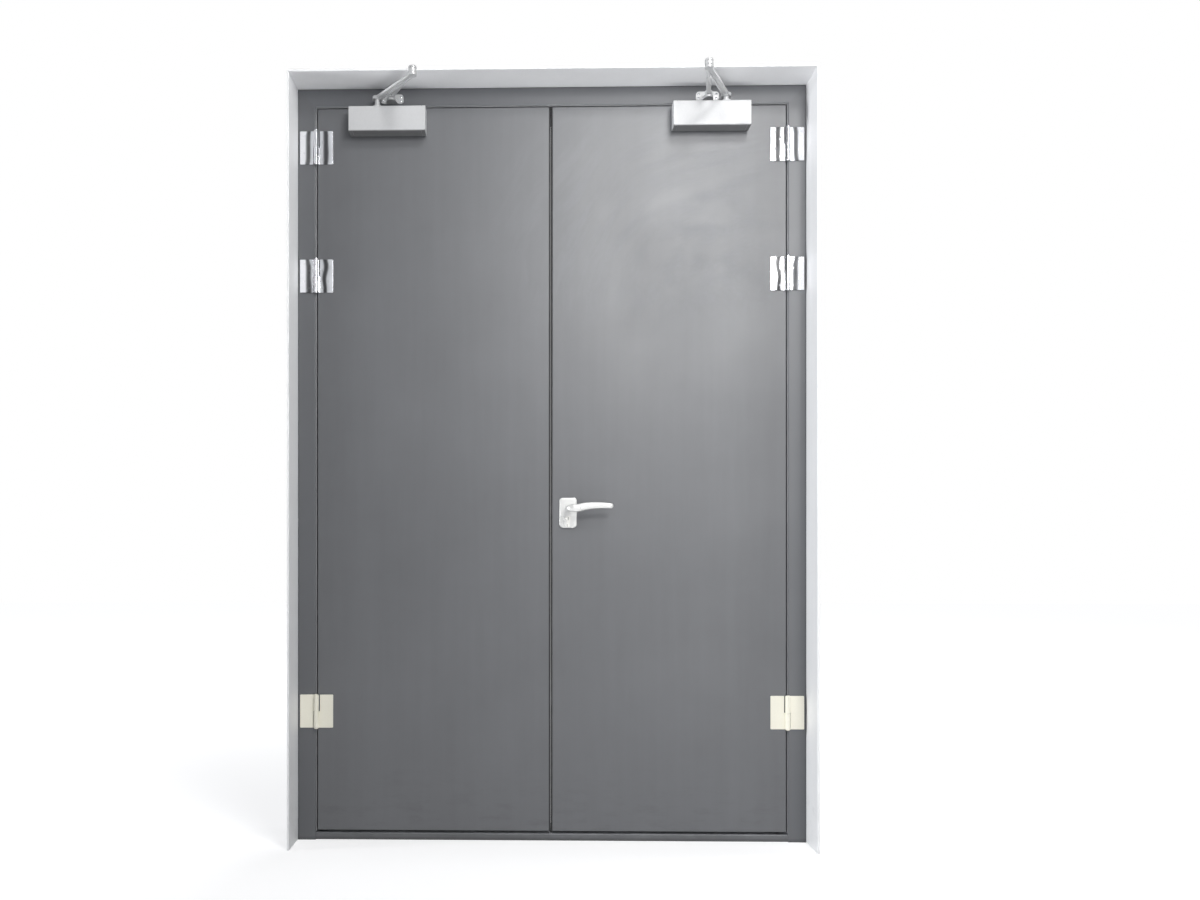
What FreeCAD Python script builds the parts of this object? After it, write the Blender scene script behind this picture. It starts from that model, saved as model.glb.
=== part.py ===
import FreeCAD, Part
import math
import os

V = FreeCAD.Vector
os.makedirs("parts", exist_ok=True)

# A double steel door for a plant room, seen from its pull side: two flush leaves in a
# folded steel frame, a sill, a pale lining round the recess, six two-knuckle hinges,
# two surface closers with folding arms, and a lever handle on the right leaf.
# Millimetres. X runs to the right along the opening and Z runs up. The pull side faces -Y.
# The origin is on the floor, at mid width and at mid depth of the frame.

# Leaves
leaf_width = 701.0
leaf_height = 2180.0
leaf_thickness = 50.0
skin = 1.5
skin_bend = 1.0
core_clearance = 0.5
meeting_gap = 8.0
hinge_gap = 5.0
top_gap = 5.0
bottom_gap = 5.0

# Frame, folded from one sheet: a face, a rebate for the leaf, a stop and a back
face_width = 55.0
frame_depth = 110.0
frame_sheet = 2.0
frame_bend = 1.5
stop_projection = 18.0
stop_gap = 4.0
wall_lip = 35.0
anchor_hole_radius = 5.5
anchor_hole_back = 24.0
anchor_count = 4
anchor_end_distance = 300.0

# Sill, a closed folded section that stands on the floor
sill_height = 25.0
sill_sheet = 3.0
sill_slope = 4.0
sill_setback = 2.0
sill_bend = 1.0

# Seals in the stop
seal_width = 9.0
seal_clearance = 0.3
seal_inset = 5.0
seal_flat = 1.0

# Rubber lips on both meeting edges, which leave a fine slit between them
lip_back = 6.0
lip_thickness = 1.5
lip_slit = 0.5
lip_foot = 1.0
lip_foot_width = 7.0
lip_end_gap = 3.0

# Lining of the recess in front of the frame
lining_depth = 112.0
lining_sheet = 2.0
lining_bend = 1.0
lining_lap = 25.0
lining_return = 6.0
mitre_room = 50.0

# Hinges
top_hinge_below_top = 118.5
middle_hinge_below_top_hinge = 387.5
bottom_hinge_above_bottom = 359.0
hinge_height = 100.0
hinge_plate_width = 50.0
hinge_plate = 3.0
hinge_corner = 2.5
barrel_radius = 7.5
pin_radius = 4.0
pin_clearance = 0.1
pin_head_radius = 5.6
pin_head_height = 2.2
pin_head_bevel = 1.4
knuckle_gap = 0.6
plate_slit = 2.5

# Closers: a body on each leaf, a flat arm on its pinion, a rod arm to a shoe on the head
closer_from_hinge_edge = {"right": 229.0, "left": 216.5}
closer_length = 228.0
closer_height = 75.0
closer_depth = 42.0
closer_plate = 5.0
closer_plate_rim = 2.5
closer_edge = 5.0
closer_cap = 11.0
closer_groove = 0.8
closer_below_top = {"right": 4.0, "left": 12.0}
valve_radius = 4.0
valve_spacing = 15.0
valve_depth = 3.0
pinion_offset = {"right": 44.0, "left": 30.5}
pinion_reach = 28.0
pinion_radius = 8.0
pinion_depth = 18.0
pinion_seat_radius = 13.0
pinion_seat_height = 5.0
pinion_clearance = 0.1
pinion_end_gap = 2.0
main_arm_length = 190.0
main_arm_width = 20.0
main_arm_end_width = 16.0
main_arm_thickness = 7.0
main_arm_above_leaf = 13.0
main_arm_hub_radius = 14.5
main_arm_hub_height = 9.0
main_arm_hub_drop = 1.0
main_arm_rib = 3.0
main_arm_rib_margin = 3.5
elbow_radius = 12.0
elbow_pin_radius = 5.0
elbow_clearance = 0.1
arm_gap = 1.0
elbow_nut_height = 7.5
elbow_nut_round = 5.0
forearm_length = {"right": 180.0, "left": 172.0}
forearm_rod_radius = 4.5
forearm_sleeve_radius = 7.0
forearm_sleeve_share = 0.56
forearm_eye_height = 11.0
forearm_lock_nut = 7.0
forearm_nut_corner = 6.3
forearm_foot_radius = 11.0
rod_buried = 4.0
shoe_from_hinge_edge = {"right": 236.0, "left": 227.0}
shoe_reach = 22.0
shoe_width = 68.0
shoe_height = 28.0
shoe_plate = 4.0
shoe_corner = 9.0
shoe_tongue = 7.0
shoe_tongue_half = 12.0
shoe_tongue_flare = 6.0
shoe_below_forearm = 2.0
shoe_pivot_radius = 6.0
open_pivot_gap = 0.3

# Lever handle on both faces of the right leaf
hub_from_edge = 48.0
hub_z = 1000.0
plate_width = 52.0
plate_above_hub = 33.0
plate_below_hub = 58.0
plate_thickness = 8.0
plate_top_corner = 9.0
plate_bottom_corner = 12.0
plate_crown = 2.0
neck_radius = 9.5
neck_clearance = 0.6
neck_step = 0.4
neck_root_gap = 0.5
lever_reach = 132.0
lever_stand_off = 49.0
lever_turn_radius = 17.0
lever_rise = 8.0
lever_rise_peak = 0.65
lever_root_height = 24.0
lever_tip_height = 15.0
lever_root_thickness = 13.0
lever_tip_thickness = 9.0
lever_tip_round = 4.0
lever_tip_angles = (40.0, 75.0)
lever_turn_sections = 5
lever_grip_sections = 7
least_oval = 0.1
spindle_side = 8.0
spindle_clearance = 0.1
spindle_in_neck = 22.0
spindle_end_gap = 0.5

# Lock in the right leaf, and what answers it in the left leaf
cylinder_below_hub = 30.0
cylinder_radius = 8.5
cylinder_stem = 10.0
cylinder_height = 33.0
cylinder_proud = 1.5
keyway_width = 2.0
keyway_height = 12.0
keyway_above_centre = 4.0
keyway_depth = 6.0
cut_clearance = 0.4
lock_case_height = 165.0
lock_case_depth = 84.0
lock_case_thickness = 15.0
lock_case_below_hub = 95.0
faceplate_height = 235.0
faceplate_width = 20.0
faceplate_thickness = 3.0
faceplate_end_flat = 1.0
latch_height = 16.0
latch_width = 11.0
latch_proud = 2.0
latch_pocket = 10.0
latch_above_hub = 8.0
strike_clearance = 2.0
flush_bolt_height = 180.0
flush_bolt_inset = 60.0
flush_bolt_slot = 60.0
flush_bolt_slot_width = 9.0

# How far a cut or a joined piece runs past the face that it meets
overrun = 1.0

# Places that follow from these sizes
meeting_x = meeting_gap / 2
hinge_edge_x = meeting_x + leaf_width
rebate_x = hinge_edge_x + hinge_gap
outer_x = rebate_x + face_width
soffit_x = rebate_x - stop_projection
front_y = -frame_depth / 2
back_y = frame_depth / 2
leaf_back_y = front_y + leaf_thickness
stop_y = leaf_back_y + stop_gap
leaf_bottom = sill_height + bottom_gap
leaf_top = leaf_bottom + leaf_height
rebate_z = leaf_top + top_gap
outer_z = rebate_z + face_width
pin_x = hinge_edge_x + hinge_gap / 2
pin_y = front_y - barrel_radius
closer_centre = {side: hinge_edge_x - back for side, back in closer_from_hinge_edge.items()}
closer_top = {side: leaf_top - drop for side, drop in closer_below_top.items()}
shoe_x = {side: hinge_edge_x - back for side, back in shoe_from_hinge_edge.items()}
top_hinge_z = leaf_top - top_hinge_below_top
hinge_heights = {
    "top": top_hinge_z,
    "middle": top_hinge_z - middle_hinge_below_top_hinge,
    "bottom": leaf_bottom + bottom_hinge_above_bottom,
}
hub_x = meeting_x + hub_from_edge
main_arm_z = leaf_top + main_arm_above_leaf
forearm_z = main_arm_z + main_arm_thickness + arm_gap
leaf_mid_y = front_y + leaf_thickness / 2
cylinder_z = hub_z - cylinder_below_hub
lock_z = hub_z - lock_case_below_hub + lock_case_height / 2
latch_z = hub_z + latch_above_hub


def box(x0, x1, y0, y1, z0, z1):
    """Block between two opposite corners."""
    return Part.makeBox(x1 - x0, y1 - y0, z1 - z0, V(x0, y0, z0))


def post(x, y, z0, z1, radius):
    """Upright cylinder from one height to another."""
    return Part.makeCylinder(radius, z1 - z0, V(x, y, z0))


def across(x, z, y0, y1, radius):
    """Cylinder that runs through the door from front to back."""
    return Part.makeCylinder(radius, y1 - y0, V(x, y0, z), V(0, 1, 0))


def flat(height):
    """Places an outline's two coordinates along X and Y at one height."""
    return lambda a, b: V(a, b, height)


def upright(y):
    """Places an outline's two coordinates along X and Z at one depth."""
    return lambda a, b: V(a, y, b)


def lengthwise(x):
    """Places an outline's two coordinates along Y and Z at one width."""
    return lambda a, b: V(x, a, b)


def outline(corners, radii, place):
    """Face inside straight runs that meet in arcs of the given radii, set in space by place."""
    starts, middles, ends = [], [], []
    for i, radius in enumerate(radii):
        corner = V(*corners[i], 0)
        before = (V(*corners[i - 1], 0) - corner).normalize()
        after = (V(*corners[(i + 1) % len(corners)], 0) - corner).normalize()
        half = before.getAngle(after) / 2
        run = radius / math.tan(half)
        inward = (before + after).normalize() if radius else V(0, 0, 0)
        starts.append(corner + before * run)
        middles.append(corner + inward * (radius / math.sin(half) - radius))
        ends.append(corner + after * run)
    edges = []
    for i, radius in enumerate(radii):
        points = [place(p.x, p.y) for p in (starts[i], middles[i], ends[i])]
        if radius:
            edges.append(Part.Arc(*points).toShape())
        following = starts[(i + 1) % len(corners)]
        if (following - ends[i]).Length > 1e-6:
            edges.append(Part.makeLine(points[2], place(following.x, following.y)))
    return Part.Face(Part.Wire(edges))


def folded(path, sheet, bend):
    """Corners and radii of a bent sheet: its skin follows the path and its thickness lies to the left."""
    points = [V(*p, 0) for p in path]
    runs = [(b - a).normalize() for a, b in zip(points, points[1:])]
    normals = [V(-run.y, run.x, 0) for run in runs]
    inner, skin_radii, inner_radii = [points[0] + normals[0] * sheet], [0], [0]
    for i in range(1, len(runs)):
        shared = (normals[i - 1] + normals[i]) * (sheet / (1 + normals[i - 1].dot(normals[i])))
        inner.append(points[i] + shared)
        turns_left = runs[i - 1].cross(runs[i]).z > 0
        skin_radii.append(bend + sheet if turns_left else bend)
        inner_radii.append(bend if turns_left else bend + sheet)
    inner.append(points[-1] + normals[-1] * sheet)
    corners = list(path) + [(p.x, p.y) for p in reversed(inner)]
    return corners, skin_radii + [0, 0] + inner_radii[:0:-1] + [0]


def mirrored(shape):
    """The same piece on the other side of the door's middle."""
    return shape.mirror(V(0, 0, 0), V(1, 0, 0))


def for_side(shape, side):
    """A piece drawn for the right side, put on the named side."""
    return shape if side == "right" else mirrored(shape)


def save(node, *solids):
    """Writes one piece, or like pieces that do not touch, to its own file."""
    shape = solids[0] if len(solids) == 1 else Part.makeCompound(list(solids))
    shape.exportStep("parts/" + node + ".step")


def frame_path():
    """Skin of the frame section: distance in from the outer edge, then depth."""
    inner_edge = face_width + stop_projection
    return [
        (0, front_y + wall_lip),
        (0, front_y),
        (face_width, front_y),
        (face_width, stop_y),
        (inner_edge, stop_y),
        (inner_edge, back_y),
        (0, back_y),
        (0, back_y - wall_lip),
    ]


def seal_groove_section():
    """Corners and radii of a seal: a flat foot on the stop with a rounded nose towards the leaf."""
    near = face_width + seal_inset
    far = near + seal_width
    nose = leaf_back_y + seal_clearance
    round_nose = stop_gap - seal_clearance - seal_flat
    return [(near, stop_y), (near, nose), (far, nose), (far, stop_y)], [0, round_nose, round_nose, 0]


def below_mitre():
    """Wedge that holds all of a right-hand upright below its mitre with the head."""
    outside = outer_x + mitre_room
    inside = soffit_x - mitre_room
    corners = [(outside, -mitre_room), (outside, outer_z + mitre_room),
               (inside, outer_z - outer_x + inside), (inside, -mitre_room)]
    depth = lining_depth + frame_depth
    face = outline(corners, [0] * 4, upright(-depth))
    return face.extrude(V(0, 2 * depth, 0))


def along_jamb(corners, radii, keep):
    """Section run up the right side of the opening and cut to the mitre."""
    face = outline(corners, radii, lambda a, b: V(outer_x - a, b, 0))
    return face.extrude(V(0, 0, outer_z + lining_sheet + lining_return)).common(keep)


def along_head(corners, radii, keep):
    """Section run over the opening and cut to both mitres."""
    length = outer_x + lining_sheet + lining_return
    face = outline(corners, radii, lambda a, b: V(-length, b, outer_z - a))
    return face.extrude(V(2 * length, 0, 0)).cut(keep).cut(mirrored(keep))


def make_frame():
    """Jambs and head folded from one section, mitred, with holes for the wall anchors."""
    corners, radii = folded(frame_path(), frame_sheet, frame_bend)
    keep = below_mitre()
    jamb = along_jamb(corners, radii, keep)
    hole_y = back_y - anchor_hole_back
    spacing = (outer_z - 2 * anchor_end_distance) / (anchor_count - 1)
    for i in range(anchor_count):
        height = anchor_end_distance + spacing * i
        drill = Part.makeCylinder(anchor_hole_radius, 4 * frame_sheet,
                                  V(soffit_x - 2 * frame_sheet, hole_y, height), V(1, 0, 0))
        jamb = jamb.cut(drill)
    save("right_jamb", jamb)
    save("left_jamb", mirrored(jamb))
    save("frame_head", along_head(corners, radii, keep))


def make_sill():
    """Closed folded section between the rebates, notched round both stops, falling a little to the front."""
    front = front_y + sill_setback
    low = sill_height - sill_slope
    outer = [(front, 0), (back_y, 0), (back_y, sill_height), (leaf_back_y, sill_height), (front, low)]
    bend = sill_bend + sill_sheet
    inner = [(front + sill_sheet, sill_sheet), (back_y - sill_sheet, sill_sheet),
             (back_y - sill_sheet, sill_height - sill_sheet), (leaf_back_y, sill_height - sill_sheet),
             (front + sill_sheet, low - sill_sheet)]
    shell = outline(outer, [bend, bend, bend, 0, bend], lengthwise(-rebate_x))
    hollow = outline(inner, [sill_bend, sill_bend, sill_bend, 0, sill_bend], lengthwise(-rebate_x))
    sill = shell.cut(hollow).extrude(V(2 * rebate_x, 0, 0))
    notch = box(soffit_x, rebate_x + overrun, stop_y - frame_bend, back_y + overrun, -overrun,
                sill_height + overrun)
    save("sill", sill.cut(notch).cut(mirrored(notch)))


def make_seals():
    """Rubber strips on the stop of each jamb and of the head."""
    corners, radii = seal_groove_section()
    keep = below_mitre()
    side = along_jamb(corners, radii, keep).common(
        box(0, outer_x, front_y, back_y, sill_height + seal_clearance, outer_z))
    save("right_seal", side)
    save("left_seal", mirrored(side))
    save("head_seal", along_head(corners, radii, keep))


def make_meeting_seals():
    """On each meeting edge a flat foot with one lip, set back from the face, that nearly fills the gap."""
    tip_x = lip_slit / 2
    near = front_y + lip_back - lip_thickness
    far = front_y + lip_back
    foot_x = meeting_x - lip_foot
    foot_near = near - lip_thickness
    foot_far = foot_near + lip_foot_width
    section = [(meeting_x, foot_near), (meeting_x, foot_far), (foot_x, foot_far), (foot_x, far),
               (tip_x, far), (tip_x, near), (foot_x, near), (foot_x, foot_near)]
    length = leaf_height - 2 * lip_end_gap
    lip = outline(section, [0] * 8, flat(leaf_bottom + lip_end_gap)).extrude(V(0, 0, length))
    for side in ("right", "left"):
        save(side + "_meeting_seal", for_side(lip, side))


def make_lining():
    """Pale sheet round the recess: laps the frame's outer edge and turns out at the front."""
    front = front_y - lining_depth
    path = [(-lining_return, front), (0, front), (0, front_y + lining_lap)]
    corners, radii = folded(path, lining_sheet, lining_bend)
    keep = below_mitre()
    side = along_jamb(corners, radii, keep)
    save("right_lining", side)
    save("left_lining", mirrored(side))
    save("head_lining", along_head(corners, radii, keep))


def leaf_cutouts():
    """What the lock and handle take out of the right leaf."""
    start = front_y - overrun
    end = leaf_back_y + overrun
    return across(hub_x, hub_z, start, end, spindle_side).fuse(cylinder_shape(cut_clearance, start, end))


def faceplate_pocket(centre_z, height, clearance, side):
    """Block out of the meeting edge for a faceplate let in flush."""
    half = faceplate_width / 2 + clearance
    pocket = box(meeting_x - overrun, meeting_x + faceplate_thickness + clearance, leaf_mid_y - half,
                 leaf_mid_y + half, centre_z - height / 2 - clearance, centre_z + height / 2 + clearance)
    return for_side(pocket, side)


def leaf_shells(side):
    """Front tray, back sheet and core of one leaf."""
    tray = box(meeting_x, hinge_edge_x, front_y, leaf_back_y - skin, leaf_bottom, leaf_top)
    front_edges = [e for e in tray.Edges if all(abs(v.Y - front_y) < 1e-6 for v in e.Vertexes)]
    tray = tray.makeFillet(skin_bend + skin, front_edges)
    hollow = box(meeting_x + skin, hinge_edge_x - skin, front_y + skin, leaf_back_y,
                 leaf_bottom + skin, leaf_top - skin)
    back = box(meeting_x, hinge_edge_x, leaf_back_y - skin, leaf_back_y, leaf_bottom, leaf_top)
    inset = skin + core_clearance
    core = box(meeting_x + inset, hinge_edge_x - inset, front_y + inset, leaf_back_y - inset,
               leaf_bottom + inset, leaf_top - inset)
    return [for_side(piece, side) for piece in (tray.cut(hollow), back, core)]


def make_right_leaf():
    """Right leaf with its lock, faceplate pocket and handle holes."""
    tray, back, core = leaf_shells("right")
    through = leaf_cutouts()
    pocket = faceplate_pocket(lock_z, faceplate_height, cut_clearance, "right")
    case_room = lock_case_shape(cut_clearance)
    save("right_leaf_front", tray.cut(through).cut(pocket))
    save("right_leaf_back", back.cut(through))
    save("right_leaf_core", core.cut(through).cut(pocket).cut(case_room))


def make_left_leaf():
    """Left leaf with the strike and the two flush bolts let into its meeting edge."""
    tray, back, core = leaf_shells("left")
    plates = [(lock_z, faceplate_height)]
    plates += [(z, flush_bolt_height) for z in flush_bolt_places()]
    for centre_z, height in plates:
        pocket = faceplate_pocket(centre_z, height, cut_clearance, "left")
        tray = tray.cut(pocket)
        core = core.cut(pocket)
    save("left_leaf_front", tray)
    save("left_leaf_back", back)
    save("left_leaf_core", core)


def faceplate(centre_z, height):
    """Round-ended strip in the right leaf's meeting edge."""
    half = faceplate_width / 2
    corners = [(leaf_mid_y - half, centre_z - height / 2), (leaf_mid_y + half, centre_z - height / 2),
               (leaf_mid_y + half, centre_z + height / 2), (leaf_mid_y - half, centre_z + height / 2)]
    radius = half - faceplate_end_flat / 2
    face = outline(corners, [radius] * 4, lengthwise(meeting_x))
    return face.extrude(V(faceplate_thickness, 0, 0))


def lock_case_shape(clearance):
    """Block of the lock case, with room round it if a clearance is given."""
    half = lock_case_thickness / 2 + clearance
    low = hub_z - lock_case_below_hub - clearance
    start = meeting_x + faceplate_thickness
    return box(start, start + lock_case_depth + clearance, leaf_mid_y - half, leaf_mid_y + half,
               low, low + lock_case_height + 2 * clearance)


def cylinder_shape(clearance, y0, y1):
    """Keyhole-shaped bar: a round barrel over a narrow stem."""
    radius = cylinder_radius + clearance
    stem = cylinder_stem / 2 + clearance
    foot = cylinder_z + cylinder_radius - cylinder_height - clearance
    barrel = across(hub_x, cylinder_z, y0, y1, radius)
    lower = box(hub_x - stem, hub_x + stem, y0, y1, foot + stem, cylinder_z)
    return barrel.fuse([lower, across(hub_x, foot + stem, y0, y1, stem)]).removeSplitter()


def make_lock():
    """Lock case with its faceplate and withdrawn latch, and the key cylinder through both plates."""
    through = leaf_cutouts()
    half = latch_width / 2
    bevel = [(meeting_x - latch_proud, leaf_mid_y - half / 2), (meeting_x, leaf_mid_y - half),
             (meeting_x + latch_pocket, leaf_mid_y - half), (meeting_x + latch_pocket, leaf_mid_y + half),
             (meeting_x - latch_proud, leaf_mid_y + half)]
    latch = outline(bevel, [0] * 5, flat(latch_z)).extrude(V(0, 0, latch_height))
    case = lock_case_shape(0).cut(through).fuse(faceplate(lock_z, faceplate_height)).fuse(latch)
    save("lock_case", case.removeSplitter())

    reach = plate_thickness + cylinder_proud
    bar = cylinder_shape(0, front_y - reach, leaf_back_y + reach)
    keyway_top = cylinder_z + keyway_above_centre
    for y0 in (front_y - reach - overrun, leaf_back_y + reach - keyway_depth):
        slot = box(hub_x - keyway_width / 2, hub_x + keyway_width / 2, y0, y0 + keyway_depth + overrun,
                   keyway_top - keyway_height, keyway_top)
        bar = bar.cut(slot)
    save("key_cylinder", bar)


def flush_bolt_places():
    """Centre heights of the lower and upper flush bolt."""
    reach = flush_bolt_inset + flush_bolt_height / 2
    return (leaf_bottom + reach, leaf_top - reach)


def make_strike_and_bolts():
    """Strike plate with its latch hole, and two flush bolts with a finger slot."""
    strike = faceplate(lock_z, faceplate_height)
    half = latch_width / 2 + strike_clearance
    hole = box(meeting_x - overrun, meeting_x + faceplate_thickness + overrun, leaf_mid_y - half,
               leaf_mid_y + half, latch_z - strike_clearance, latch_z + latch_height + strike_clearance)
    save("strike_plate", mirrored(strike.cut(hole)))
    bolts = []
    half = flush_bolt_slot_width / 2
    for z in flush_bolt_places():
        slot = box(meeting_x - overrun, meeting_x + faceplate_thickness / 2, leaf_mid_y - half,
                   leaf_mid_y + half, z - flush_bolt_slot / 2, z + flush_bolt_slot / 2)
        bolts.append(mirrored(faceplate(z, flush_bolt_height).cut(slot)))
    save("flush_bolts", *bolts)


def hinge_plate_outline(inner, outer, z0, z1):
    """Flat wing of a hinge from beside the barrel to its rounded free corners."""
    corners = [(inner, z0), (outer, z0), (outer, z1), (inner, z1)]
    face = outline(corners, [0, hinge_corner, hinge_corner, 0], upright(front_y - hinge_plate))
    return face.extrude(V(0, hinge_plate, 0))


def knuckle(z0, z1, towards):
    """Rolled barrel that runs off into its wing, towards +1 for the jamb and -1 for the leaf."""
    barrel = post(pin_x, pin_y, z0, z1, barrel_radius)
    wing_x = pin_x + towards * (barrel_radius + plate_slit)
    neck = box(min(pin_x, wing_x), max(pin_x, wing_x), front_y - hinge_plate, front_y, z0, z1)
    return barrel.fuse(neck)


def make_hinges():
    """Frame wing with the upper knuckle and the pin, and leaf wing with the lower knuckle."""
    for side in ("right", "left"):
        for place, centre in hinge_heights.items():
            low = centre - hinge_height / 2
            high = centre + hinge_height / 2
            inner = barrel_radius + plate_slit
            upper = knuckle(centre + knuckle_gap / 2, high, 1)
            lower = knuckle(low, centre - knuckle_gap / 2, -1)
            frame_wing = hinge_plate_outline(pin_x + inner, pin_x + hinge_plate_width, low, high)
            leaf_wing = hinge_plate_outline(pin_x - hinge_plate_width, pin_x - inner, low, high)
            head = pin_head_height + knuckle_gap / 2
            pin = post(pin_x, pin_y, low - head, high + pin_head_height, pin_radius)
            upper_head = post(pin_x, pin_y, high, high + pin_head_height, pin_head_radius)
            lower_head = post(pin_x, pin_y, low - head, low - knuckle_gap / 2, pin_head_radius)
            rims = [max(upper_head.Edges, key=lambda e: e.BoundBox.ZMin),
                    min(lower_head.Edges, key=lambda e: e.BoundBox.ZMax)]
            upper_head = upper_head.makeChamfer(pin_head_bevel, [rims[0]])
            lower_head = lower_head.makeChamfer(pin_head_bevel, [rims[1]])
            bore = post(pin_x, pin_y, low - overrun, high + overrun, pin_radius + pin_clearance)
            fixed = frame_wing.fuse([upper, pin, upper_head, lower_head]).removeSplitter()
            moving = leaf_wing.fuse(lower).cut(bore).removeSplitter()
            save(side + "_hinge_" + place + "_frame_wing", for_side(fixed, side))
            save(side + "_hinge_" + place + "_leaf_wing", for_side(moving, side))


def elbow_place(side):
    """Where the two closer arms meet, in front of the leaf, from their lengths and end pivots."""
    pinion = V(closer_centre[side] + pinion_offset[side], front_y - pinion_reach, 0)
    shoe = V(shoe_x[side], front_y - shoe_reach, 0)
    line = pinion - shoe
    fore = forearm_length[side]
    along = (fore ** 2 - main_arm_length ** 2 + line.Length ** 2) / (2 * line.Length)
    out = math.sqrt(fore ** 2 - along ** 2)
    direction = V(line.x, line.y, 0).normalize()
    return pinion, shoe, shoe + direction * along + V(direction.y, -direction.x, 0) * out


def make_closer_body(side):
    """Cast body with end caps marked off by grooves, on a mounting plate, with its pinion seat."""
    centre = closer_centre[side]
    x0 = centre - closer_length / 2
    x1 = centre + closer_length / 2
    top = closer_top[side]
    low = top - closer_height
    back = front_y - closer_plate
    front = back - closer_depth
    corners = [(back, low), (back, top), (front, top), (front, low)]
    section = outline(corners, [0, 0, closer_edge, closer_edge], lengthwise(x0))
    body = section.extrude(V(closer_length, 0, 0))
    rim = closer_plate_rim
    plate = box(x0 + rim, x1 - rim, back, front_y, low + rim, top - rim)
    for x in (x0 + closer_cap, x1 - closer_cap):
        ring = box(x - closer_groove, x + closer_groove, front - overrun, back, low - overrun, top + overrun)
        inset = [(back, low + closer_groove), (back, top - closer_groove),
                 (front + closer_groove, top - closer_groove), (front + closer_groove, low + closer_groove)]
        heart = outline(inset, [0, 0, closer_edge, closer_edge], lengthwise(x - 2 * closer_groove))
        body = body.cut(ring.cut(heart.extrude(V(4 * closer_groove, 0, 0))))
    axis_x = centre + pinion_offset[side]
    axis_y = front_y - pinion_reach
    seat_top = top + pinion_seat_height
    seat = post(axis_x, axis_y, top - overrun, seat_top, pinion_seat_radius)
    bore = post(axis_x, axis_y, top - pinion_depth - pinion_end_gap, seat_top + overrun,
                pinion_radius + pinion_clearance)
    body = body.fuse([plate, seat]).cut(bore)
    middle = low + closer_height / 2
    for z in (middle - valve_spacing / 2, middle + valve_spacing / 2):
        start = V(x0 - overrun, axis_y, z)
        body = body.cut(Part.makeCylinder(valve_radius, overrun + valve_depth, start, V(1, 0, 0)))
    save(side + "_closer_body", for_side(body.removeSplitter(), side))


def make_main_arm(side):
    """Flat arm: square-cut hub on the pinion, tapered bar with a rib, and the elbow's stud and nut."""
    pinion, shoe, elbow = elbow_place(side)
    low = main_arm_z
    high = main_arm_z + main_arm_thickness
    run = (elbow - pinion).normalize()
    wide = V(-run.y, run.x, 0)
    half = main_arm_width / 2

    def at(along, sideways, height):
        return pinion + run * along + wide * sideways + V(0, 0, height)

    narrow = main_arm_end_width / 2
    bar = [at(0, -half, low), at(main_arm_length, -narrow, low), at(main_arm_length, narrow, low),
           at(0, half, low)]
    shape = Part.Face(Part.makePolygon(bar + bar[:1])).extrude(V(0, 0, high - low))
    hub_low = low - main_arm_hub_drop
    hub_high = hub_low + main_arm_hub_height
    shape = shape.fuse(post(pinion.x, pinion.y, hub_low, hub_high, main_arm_hub_radius))
    shape = shape.fuse(post(elbow.x, elbow.y, low, high, elbow_radius))
    inset = narrow - main_arm_rib_margin
    start = main_arm_hub_radius + main_arm_rib_margin
    end = main_arm_length - elbow_radius - main_arm_rib_margin
    trough = [at(start, -inset, low), at(end, -inset, low), at(end, inset, low), at(start, inset, low)]
    recess = Part.Face(Part.makePolygon(trough + trough[:1])).extrude(V(0, 0, main_arm_rib))
    shape = shape.cut(recess)
    shaft = post(pinion.x, pinion.y, closer_top[side] - pinion_depth, hub_high, pinion_radius)
    stud_top = forearm_z + forearm_eye_height + arm_gap
    stud = post(elbow.x, elbow.y, high - overrun, stud_top + overrun, elbow_pin_radius)
    nut = post(elbow.x, elbow.y, stud_top, stud_top + elbow_nut_height, elbow_radius)
    nut = nut.makeFillet(elbow_nut_round, [max(nut.Edges, key=lambda e: e.BoundBox.ZMin)])
    save(side + "_main_arm", for_side(shape.fuse([shaft, stud, nut]).removeSplitter(), side))


def make_forearm(side):
    """Rod arm: eye on the elbow stud, screwed rod, lock nut, sleeve, and closed foot over the shoe."""
    pinion, shoe, elbow = elbow_place(side)
    low = forearm_z
    high = low + forearm_eye_height
    axis_z = (low + high) / 2
    run = (shoe - elbow).normalize()
    length = forearm_length[side]
    rod_start = elbow_radius - rod_buried
    rod_end = length - forearm_foot_radius + rod_buried
    sleeve_start = length * (1 - forearm_sleeve_share)

    def along(distance):
        return elbow + run * distance + V(0, 0, axis_z)

    rod = Part.makeCylinder(forearm_rod_radius, rod_end - rod_start, along(rod_start), run)
    sleeve = Part.makeCylinder(forearm_sleeve_radius, rod_end - sleeve_start, along(sleeve_start), run)
    level = box(elbow.x - length, elbow.x + length, elbow.y - length, elbow.y + length, low, high)
    sleeve = sleeve.common(level)
    nut_start = along(sleeve_start - forearm_lock_nut)
    sideways = V(-run.y, run.x, 0)
    nut_points = []
    for i in range(6):
        angle = math.radians(60 * i)
        spoke = sideways * math.cos(angle) + V(0, 0, 1) * math.sin(angle)
        nut_points.append(nut_start + spoke * forearm_nut_corner)
    nut = Part.Face(Part.makePolygon(nut_points + nut_points[:1])).extrude(run * forearm_lock_nut)
    eye = post(elbow.x, elbow.y, low, high, elbow_radius)
    foot = post(shoe.x, shoe.y, low, high, forearm_foot_radius)
    bore = post(elbow.x, elbow.y, low - overrun, high + overrun, elbow_pin_radius + elbow_clearance)
    shape = eye.fuse([rod, sleeve, nut, foot]).cut(bore)
    save(side + "_forearm", for_side(shape.removeSplitter(), side))


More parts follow.
